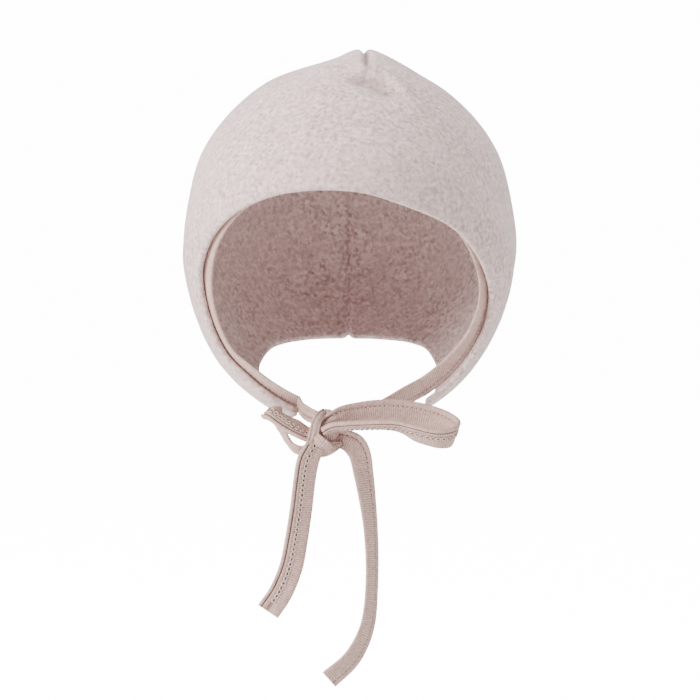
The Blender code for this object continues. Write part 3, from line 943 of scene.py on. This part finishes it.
# Routes from the knot's middle, in shares of each strap's reach. Turns in degrees, and
# shares of the tape's width.
#    right   forward up      turn   width
RIGHT_LOOP_ROUTE = (
    (-0.025, 0.080, 0.042, 0.0, 0.45),
    (0.043, 0.082, 0.088, -3.0, 0.62),
    (0.125, 0.062, 0.115, -5.0, 0.86),
    (0.230, 0.022, 0.125, -6.0, 1.00),
    (0.40, -0.015, 0.145, -6.0, 1.00),
    (0.58, -0.035, 0.140, -5.0, 1.00),
    (0.76, -0.03, 0.110, -4.0, 1.00),
    (0.91, 0.03, 0.060, -8.0, 1.00),
    (0.975, 0.11, 0.010, -16.0, 1.00),
    (0.95, 0.20, -0.030, -27.0, 1.00),
    (0.84, 0.24, -0.037, -38.0, 1.00),
    (0.68, 0.22, 0.000, -42.0, 1.00),
    (0.563, 0.198, 0.030, -44.0, 1.00),
    (0.450, 0.187, 0.040, -47.0, 1.00),
    (0.339, 0.176, 0.040, -50.0, 0.98),
    (0.234, 0.165, 0.036, -51.0, 0.95),
    (0.137, 0.154, 0.033, -52.0, 0.88),
    (0.054, 0.152, 0.026, -52.0, 0.70),
    (-0.010, 0.148, -0.004, -52.0, 0.48),
)
LEFT_LOOP_ROUTE = (
    (-0.18, -0.08, -0.20, 120.0, 0.60),
    (-0.35, -0.10, -0.32, 118.0, 0.80),
    (-0.51, -0.14, -0.28, 120.0, 0.90),
    (-0.64, -0.20, -0.12, 124.0, 1.00),
    (-0.74, -0.25, 0.07, 128.0, 1.00),
    (-0.84, -0.28, 0.24, 132.0, 1.00),
    (-0.895, -0.19, 0.345, 134.0, 1.00),
    (-0.85, -0.08, 0.335, 132.0, 1.00),
    (-0.71, -0.02, 0.215, 128.0, 1.00),
    (-0.50, 0.02, 0.07, 126.0, 1.00),
    (-0.30, 0.02, -0.04, 126.0, 0.90),
    (-0.13, 0.00, -0.10, 130.0, 0.70),
)
LEFT_TAIL_ROUTE = (
    (-0.03, 0.06, -0.03, 174.0, 0.60),
    (-0.055, 0.105, -0.08, 164.0, 0.85),
    (-0.09, 0.110, -0.15, 159.0, 1.00),
    (-0.110, 0.090, -0.26, 158.0, 1.00),
    (-0.130, 0.06, -0.425, 160.0, 1.00),
    (-0.155, 0.055, -0.59, 165.0, 1.00),
    (-0.185, 0.055, -0.74, 171.0, 1.00),
    (-0.24, 0.06, -0.875, 178.0, 1.00),
    (-0.31, 0.065, -0.98, 184.0, 1.00),
)
RIGHT_TAIL_ROUTE = (
    (0.03, 0.00, -0.03, 0.0, 0.55),
    (0.065, 0.015, -0.030, -8.0, 0.78),
    (0.110, 0.010, -0.050, -15.0, 0.98),
    (0.136, 0.00, -0.090, -23.0, 1.00),
    (0.15, 0.00, -0.165, -35.0, 1.00),
    (0.164, 0.015, -0.26, -48.0, 1.00),
    (0.176, 0.03, -0.365, -57.0, 1.00),
    (0.183, 0.05, -0.50, -62.0, 1.00),
    (0.18, 0.07, -0.635, -62.0, 1.00),
    (0.168, 0.09, -0.74, -56.0, 1.00),
    (0.14, 0.105, -0.82, -48.0, 1.00),
    (0.095, 0.115, -0.89, -40.0, 1.00),
    (0.015, 0.125, -0.96, -32.0, 1.00),
)


def strap_stations(rows, reach, upright):
    """Stations along a route. An upright strap's width starts from +Z, another's from sideways."""
    route = Route([KNOT + Vector((row[0], -row[1], row[2])) * reach for row in rows])
    turns, widths = [row[3] for row in rows], [row[4] for row in rows]
    found = []
    for at in route.steps(TAPE_STEP):
        run = route.run(at, 0.002)
        guide = Vector((0, 0, 1)) if upright else Vector((0, -1, 0)).cross(run)
        across = (guide - run * guide.dot(run)).normalized()
        across = Matrix.Rotation(math.radians(route.value(turns, at)), 3, run) @ across
        found.append((route.place(at), across, run.cross(across).normalized(), route.value(widths, at)))
    return with_lengths(found)


# How far the fold side curls away along a strap, by the share of its length.
FOLD_CURLS = {
    "right loop": lambda share: ease((share - 0.66) / 0.12),
    "left loop": lambda share: (
        0.9 * ease((share - 0.40) / 0.12) * (1 - ease((share - 0.60) / 0.25))
    ),
}

strap_lines = {"binding": binding_stations}
for name, node, route, reach, upright in (
    ("right loop", "bow_loop_right", RIGHT_LOOP_ROUTE, RIGHT_LOOP, True),
    ("left loop", "bow_loop_left", LEFT_LOOP_ROUTE, LEFT_LOOP, True),
    ("left tail", "tail_left", LEFT_TAIL_ROUTE, LEFT_TAIL, False),
    ("right tail", "tail_right", RIGHT_TAIL_ROUTE, RIGHT_TAIL, False),
):
    stations = strap_stations(route, reach, upright)
    strap_lines[name] = stations
    tape = swept_tape(stations, fold_curl=FOLD_CURLS.get(name))
    strap = cloth_object(name.replace(" ", "_"), *tape)
    strap.data.materials.append(rib_tape)
    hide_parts(node)
    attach(strap, "root")


# Knot: the tape is wound once around the bow's middle. One strand comes down over the
# front and runs on along the left tail, another crosses below it, and its end peeps out.

# A folded strand's section: plain rib on both sides, rounded at its edges.
FOLDED_STRAND = (
    (
        (-1.00, 0.00, 0.6), (-0.93, 0.50, 0.8), (-0.80, 0.85, 1.0), (-0.55, 1.02, 1.0), (-0.20, 1.08, 1.0),
        (0.20, 1.08, 1.0), (0.55, 1.02, 1.0), (0.80, 0.85, 1.0), (0.93, 0.50, 0.8), (1.00, 0.00, 0.6),
    ),
    (
        (0.90, -0.60, 0.5), (0.60, -0.95, 0.5), (0.20, -1.00, 0.5), (-0.20, -1.00, 0.5), (-0.60, -0.95, 0.5),
        (-0.90, -0.60, 0.5),
    ),
)

MM = 0.001
STRAND_STEP = RIB_PITCH / 6

# Strands of the knot: name, rib pitch, how much both edges bend down, and the route in
# millimetres from the knot's middle: right, forward, up, width, and how far the strand
# faces down in degrees.
KNOT_STRANDS = (
    ("over", 0.55 * RIB_PITCH, 95.0, (
        (0.6, -1.5, 7.8, 3.2, -40.0), (-0.2, 2.2, 7.8, 3.6, -30.0), (-1.8, 4.8, 6.8, 3.9, -18.0),
        (-3.2, 6.6, 4.8, 4.0, -8.0), (-4.0, 7.4, 2.3, 4.2, 0.0), (-4.5, 7.8, -0.2, 4.2, 6.0),
        (-5.4, 8.0, -2.6, 3.6, 8.0), (-6.9, 8.3, -5.2, 2.9, 6.0), (-8.9, 8.6, -8.8, 2.2, 4.0),
        (-10.7, 8.5, -11.4, 1.7, 2.0),
    )),
    ("under", RIB_PITCH, 70.0, (
        (-5.4, 4.6, -0.2, 4.2, 0.0), (-4.4, 7.0, -1.4, 4.6, 6.0), (-3.0, 8.6, -2.6, 4.8, 10.0),
        (-1.2, 9.0, -4.0, 4.9, 18.0), (0.4, 8.2, -5.2, 4.9, 35.0), (1.4, 6.2, -6.4, 4.8, 60.0),
        (1.8, 4.0, -7.2, 4.6, 80.0),
    )),
    ("end", RIB_PITCH, 40.0, (
        (-2.3, 4.6, -7.6, 6.4, 10.0), (0.1, 5.6, -7.0, 6.4, 8.0), (2.7, 5.6, -6.3, 5.2, 6.0),
        (5.0, 4.4, -5.6, 3.4, 4.0), (7.0, 2.8, -5.0, 1.8, 0.0),
    )),
    ("top", RIB_PITCH, 90.0, (
        (-1.6, 0.6, 6.6, 3.6, -35.0), (0.2, 2.2, 7.5, 3.6, -35.0), (2.0, 2.6, 7.3, 3.4, -30.0),
        (3.4, 1.6, 5.8, 3.2, -20.0),
    )),
)


def strand_stations(rows):
    """Stations of a strand whose face looks to the front, tipped down by its tilt."""
    route = Route([KNOT + Vector((row[0], -row[1], row[2])) * MM for row in rows])
    widths, tilts = [row[3] for row in rows], [row[4] for row in rows]
    found = []
    for at in route.steps(STRAND_STEP):
        run = route.run(at, 0.004)
        tilt = math.radians(route.value(tilts, at))
        face = Vector((0.0, -math.cos(tilt), -math.sin(tilt)))
        face = (face - run * face.dot(run)).normalized()
        width = route.value(widths, at) * MM / TAPE_WIDTH
        found.append((route.place(at), face.cross(run).normalized(), face, width))
    return with_lengths(found)


knot_points, knot_faces, knot_corners = [], [], []
for name, pitch, curl, rows_of_strand in KNOT_STRANDS:
    laid_at = (0.88, 0.05) if name == "over" else (0.3, 0.2)
    strand = swept_tape(strand_stations(rows_of_strand), FOLDED_STRAND, pitch, curl, laid_at=laid_at)
    start = len(knot_points)
    knot_points += strand[0]
    knot_faces += [tuple(v + start for v in face) for face in strand[1]]
    knot_corners += strand[2]

# The tape wound inside the strands, a rippled ball.
CORE_RINGS = 18
CORE_SPOKES = 32
CORE_TURN = 1.2
CORE_HALF = Vector((0.0060, 0.0056, 0.0072))
core_start = len(knot_points)
for ring in range(1, CORE_RINGS):
    lean = math.pi * ring / CORE_RINGS
    for spoke in range(CORE_SPOKES):
        turn = 2 * math.pi * spoke / CORE_SPOKES
        ripple = 1.0 + 0.03 * math.cos(turn * 9.0 + lean * 4.0)
        knot_points.append(KNOT + Vector((
            CORE_HALF.x * math.sin(lean) * math.cos(turn) * ripple,
            CORE_HALF.y * math.sin(lean) * math.sin(turn) * ripple,
            CORE_HALF.z * math.cos(lean),
        )))
knot_points += [KNOT + Vector((0, 0, CORE_HALF.z)), KNOT - Vector((0, 0, CORE_HALF.z))]
for ring in range(CORE_RINGS - 2):
    for spoke in range(CORE_SPOKES):
        a = core_start + ring * CORE_SPOKES + spoke
        b = core_start + ring * CORE_SPOKES + (spoke + 1) % CORE_SPOKES
        knot_faces.append((a, a + CORE_SPOKES, b + CORE_SPOKES, b))
        here, there = spoke * CORE_TURN, (spoke + 1) * CORE_TURN
        knot_corners += [(here, 0.2), (here, 0.25), (there, 0.25), (there, 0.2)]
for spoke in range(CORE_SPOKES):
    n = (spoke + 1) % CORE_SPOKES
    last = core_start + (CORE_RINGS - 2) * CORE_SPOKES
    knot_faces.append((len(knot_points) - 2, core_start + spoke, core_start + n))
    knot_faces.append((len(knot_points) - 1, last + n, last + spoke))
    knot_corners += [(spoke * CORE_TURN, 0.2)] * 6
knot = cloth_object("knot_wraps", knot_points, knot_faces, knot_corners)
knot.data.materials.append(rib_tape)
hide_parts("knot")
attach(knot, "root")


# Stitching: a row of needle dashes along the tape's smooth side and a looped chain along
# its other side, both in a pale spun thread, sewn on the whole tape in one pass.

NEEDLE_PITCH = 0.00185
CHAIN_PITCH = 0.00210
SEWN_FROM = 0.001
SEWN_WIDTH = 0.72
ARC_STEPS = 5

# Arcs of thread in one stitch, each by its start, middle and end: shares of the stitch's
# length along the seam, of its width across it and of its rise out of the cloth.
NEEDLE_ARCS = (((-0.50, 0.00, -1.0), (0.00, 0.00, 2.4), (0.50, 0.00, -1.0)),)
CHAIN_ARCS = (
    ((-0.55, 0.05, -0.8), (0.05, 1.25, 2.2), (0.42, 0.05, 0.2)),
    ((0.42, -0.05, 0.6), (0.05, -1.15, 2.0), (-0.55, -0.05, -0.6)),
)


def stitch_tree(name, arcs, sides):
    """Node tree that sews one stitch at each point, turned by the points' run and face."""
    tree = bpy.data.node_groups.new(name, "GeometryNodeTree")
    for label, kind in (
        ("Places", "NodeSocketGeometry"), ("Stitch Length", "NodeSocketFloat"),
        ("Stitch Width", "NodeSocketFloat"), ("Stitch Rise", "NodeSocketFloat"),
        ("Thread Radius", "NodeSocketFloat"), ("Seed", "NodeSocketInt"), ("Thread", "NodeSocketMaterial"),
    ):
        tree.interface.new_socket(label, in_out="INPUT", socket_type=kind)
    tree.interface.new_socket("Stitches", in_out="OUTPUT", socket_type="NodeSocketGeometry")
    make, join = tree.nodes.new, tree.links.new
    given, result = make("NodeGroupInput"), make("NodeGroupOutput")

    def spot(shares):
        """A point in the stitch, from its shares of the length, width and rise."""
        point = make("ShaderNodeCombineXYZ")
        sizes = ("Stitch Length", "Stitch Width", "Stitch Rise")
        for label, share, socket in zip(sizes, shares, point.inputs):
            part = make("ShaderNodeMath")
            part.operation = "MULTIPLY"
            join(given.outputs[label], part.inputs[0])
            part.inputs[1].default_value = share
            join(part.outputs[0], socket)
        return point.outputs[0]

    profile = make("GeometryNodeCurvePrimitiveCircle")
    profile.inputs["Resolution"].default_value = sides
    join(given.outputs["Thread Radius"], profile.inputs["Radius"])
    stitch = make("GeometryNodeJoinGeometry")
    for arc in arcs:
        bend = make("GeometryNodeCurveQuadraticBezier")
        bend.inputs["Resolution"].default_value = ARC_STEPS
        for label, shares in zip(("Start", "Middle", "End"), arc):
            join(spot(shares), bend.inputs[label])
        tube = make("GeometryNodeCurveToMesh")
        join(bend.outputs["Curve"], tube.inputs["Curve"])
        join(profile.outputs["Curve"], tube.inputs["Profile Curve"])
        tube.inputs["Fill Caps"].default_value = True
        join(tube.outputs["Mesh"], stitch.inputs[0])

    def named(label):
        """Vector that each place carries."""
        node = make("GeometryNodeInputNamedAttribute")
        node.data_type = "FLOAT_VECTOR"
        node.inputs["Name"].default_value = label
        return node.outputs["Attribute"]

    upright = make("FunctionNodeAlignRotationToVector")
    upright.axis = "Z"
    join(named("face"), upright.inputs["Vector"])
    turned = make("FunctionNodeAlignRotationToVector")
    turned.axis = "X"
    turned.pivot_axis = "Z"
    join(upright.outputs["Rotation"], turned.inputs["Rotation"])
    join(named("run"), turned.inputs["Vector"])
    uneven = make("FunctionNodeRandomValue")
    uneven.data_type = "FLOAT_VECTOR"
    uneven.inputs[0].default_value = (0.88, 0.85, 0.85)
    uneven.inputs[1].default_value = (1.10, 1.15, 1.20)
    join(given.outputs["Seed"], uneven.inputs["Seed"])
    sewn = make("GeometryNodeInstanceOnPoints")
    join(given.outputs["Places"], sewn.inputs["Points"])
    join(stitch.outputs[0], sewn.inputs["Instance"])
    join(turned.outputs["Rotation"], sewn.inputs["Rotation"])
    join(uneven.outputs["Value"], sewn.inputs["Scale"])
    real = make("GeometryNodeRealizeInstances")
    join(sewn.outputs["Instances"], real.inputs[0])
    dyed = make("GeometryNodeSetMaterial")
    join(real.outputs[0], dyed.inputs["Geometry"])
    join(given.outputs["Thread"], dyed.inputs["Material"])
    join(dyed.outputs["Geometry"], result.inputs[0])
    return tree


def grown(name, tree, source, values):
    """Plain mesh object of what a node tree makes on a source object, which is then removed."""
    growth = source.modifiers.new(tree.name, "NODES")
    growth.node_group = tree
    for socket in tree.interface.items_tree:
        if socket.item_type == "SOCKET" and socket.in_out == "INPUT" and socket.name in values:
            growth[socket.identifier] = values[socket.name]
    graph = bpy.context.evaluated_depsgraph_get()
    mesh = bpy.data.meshes.new_from_object(source.evaluated_get(graph))
    source.modifiers.remove(growth)
    bpy.data.objects.remove(source)
    mesh.shade_smooth()
    return add_object(name, mesh)


def sewing_places(name, lines, side, row, pitch, height):
    """Loose points along the tapes, where they aren't gathered, with each stitch's run and face."""
    points, runs, faces = [], [], []
    for stations in lines:
        last = stations[-1][4]
        for i in range(int((last - 2 * SEWN_FROM) / pitch)):
            at = SEWN_FROM + i * pitch
            index = min(round(at / last * (len(stations) - 1)), len(stations) - 2)
            point, across, up, width, along = stations[index]
            if width < SEWN_WIDTH:
                continue
            aside = across * (row * TAPE_WIDTH / 2 * width)
            points.append(point + aside + up * (side * height * TAPE_THICK / 2))
            runs.append((stations[index + 1][0] - point).normalized())
            faces.append(up * side)
    mesh = bpy.data.meshes.new(name)
    mesh.from_pydata([tuple(p) for p in points], [], [])
    for label, vectors in (("run", runs), ("face", faces)):
        field = mesh.attributes.new(label, "FLOAT_VECTOR", "POINT")
        for k, vector in enumerate(vectors):
            field.data[k].vector = vector
    return add_object(name, mesh)


spun_thread, nodes, links, shader, place = new_material("spun thread")
twist = grain(2600.0, 1.0, 0.5, (0.35, 0.65))
thread_colour = blended(twist, (0.500, 0.335, 0.285), (0.740, 0.565, 0.505))
finished(thread_colour, raised(twist, 0.5, 0.0001), None, {"Roughness": 0.7, "Sheen Weight": 0.2})

tape_lines = list(strap_lines.values())
needle_row = grown(
    "needle_stitches",
    stitch_tree("needle stitches", NEEDLE_ARCS, 5),
    sewing_places("needle places", tape_lines, 1.0, STITCH_ROW, NEEDLE_PITCH, 0.62),
    {
        "Stitch Length": 0.00115, "Stitch Width": 0.0004, "Stitch Rise": 0.00018,
        "Thread Radius": 0.00018, "Seed": 4, "Thread": spun_thread,
    },
)
chain_row = grown(
    "chain_stitches",
    stitch_tree("chain stitches", CHAIN_ARCS, 4),
    sewing_places("chain places", tape_lines, -1.0, CHAIN_ROW, CHAIN_PITCH, 0.72),
    {
        "Stitch Length": 0.00205, "Stitch Width": 0.00125, "Stitch Rise": 0.00030,
        "Thread Radius": 0.00033, "Seed": 9, "Thread": spun_thread,
    },
)
for row_of_stitches in (needle_row, chain_row):
    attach(row_of_stitches, "root")
